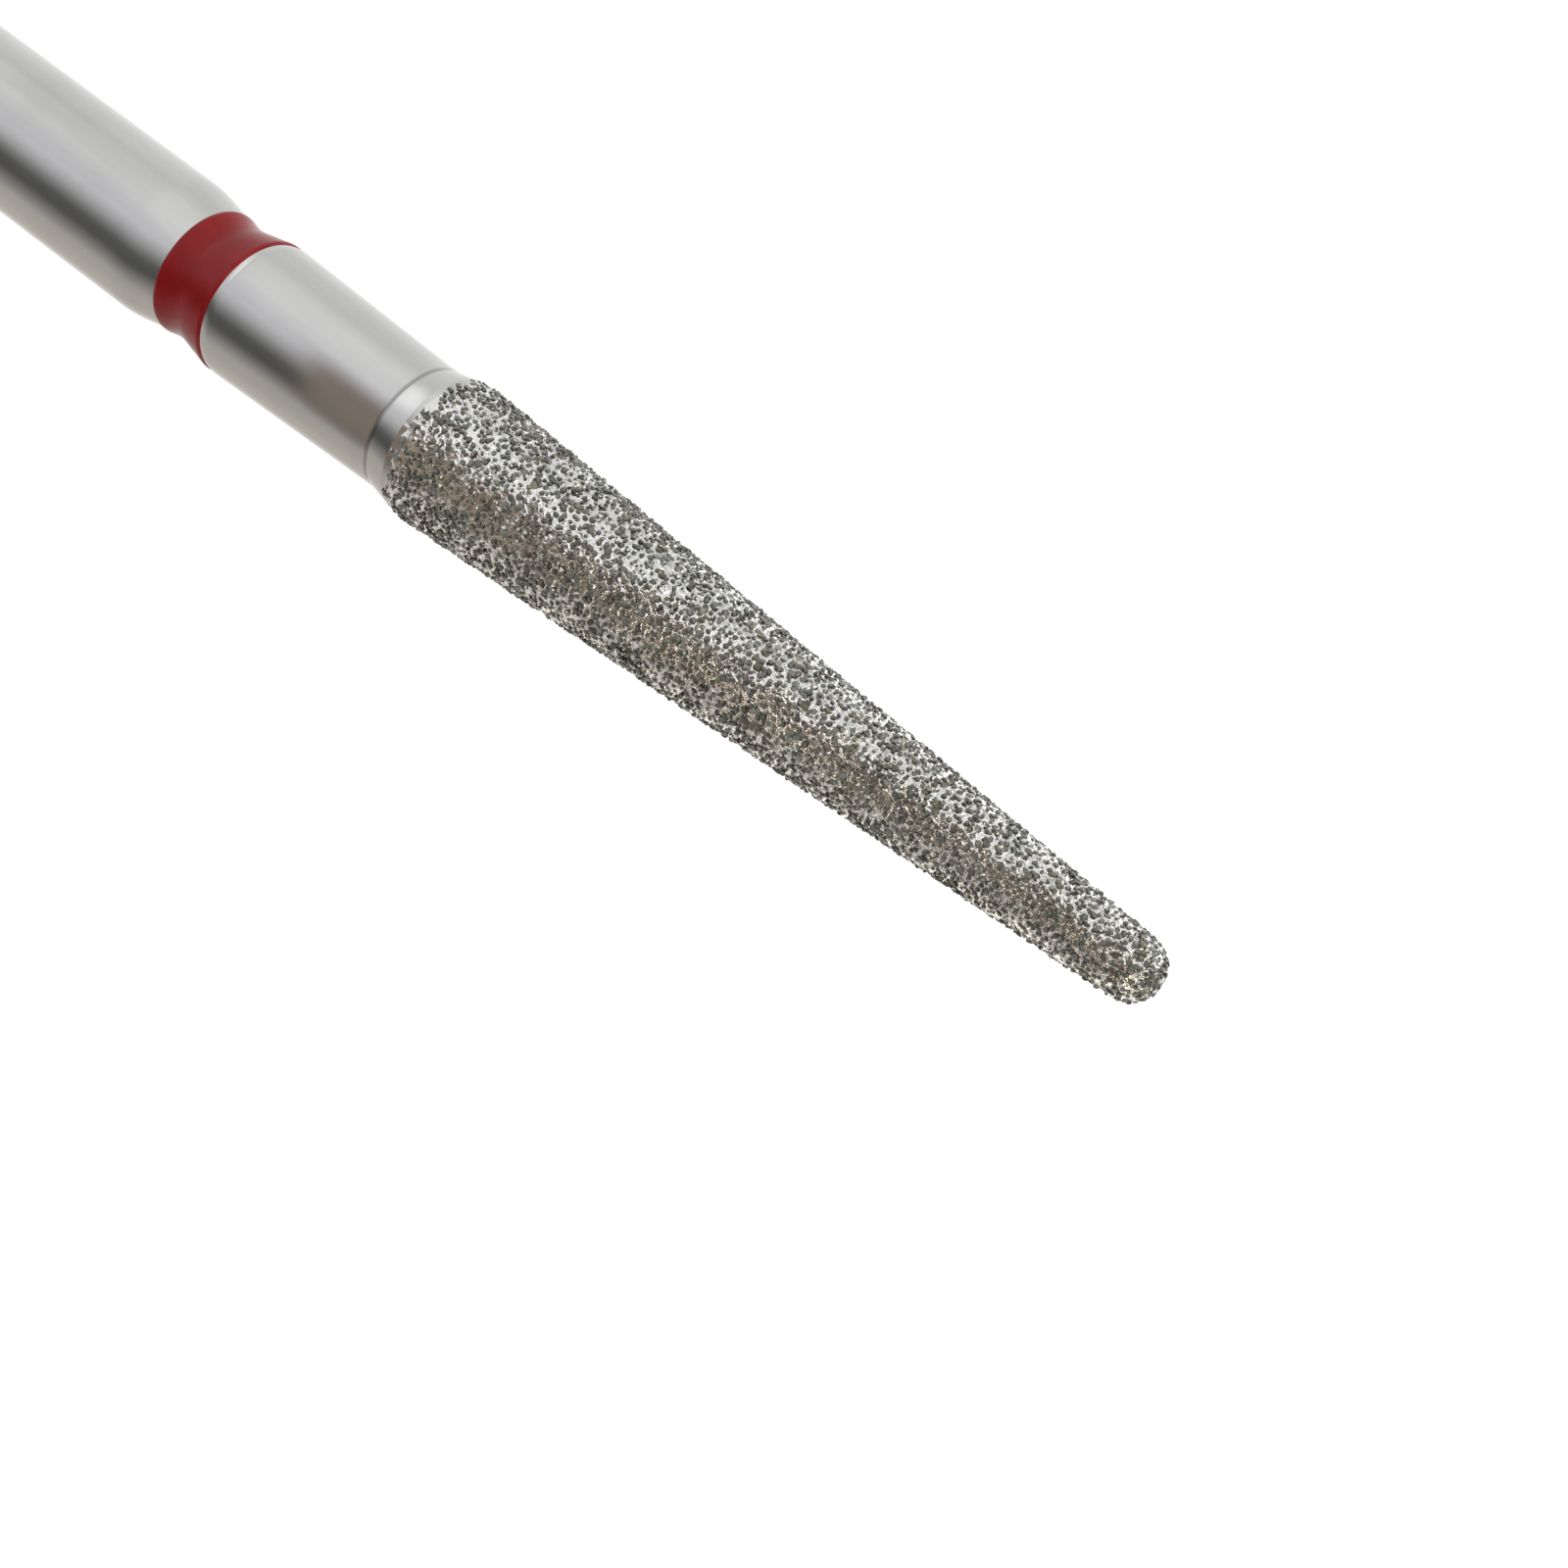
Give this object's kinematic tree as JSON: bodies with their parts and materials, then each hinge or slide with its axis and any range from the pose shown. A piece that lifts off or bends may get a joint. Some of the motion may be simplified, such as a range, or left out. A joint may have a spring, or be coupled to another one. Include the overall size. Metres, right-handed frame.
{
  "type": "dental bur",
  "caption": "Straight handpiece bur with a plain round shank, a waist with a red colour band, and a long tapered head with a round end, coated with diamond grit.",
  "frame": {"origin": "centre of the flat rear end of the shank", "axes": "+Z along the bur's axis, from the shank's rear end to the tip; X and Y are alike, because the bur is round"},
  "size_m": [0.0024, 0.0024, 0.05],
  "materials": {
    "polished_steel": "bright polished stainless steel with fine turning marks",
    "diamond_grit": "fine diamond grit held in bright nickel, rough and sparkling",
    "red_lacquer": "thin glossy red lacquer"
  },
  "bodies": {
    "root": {"steel_blank": "polished_steel", "diamond_coat": "diamond_grit", "colour_band": "red_lacquer"}
  },
  "joints": []
}
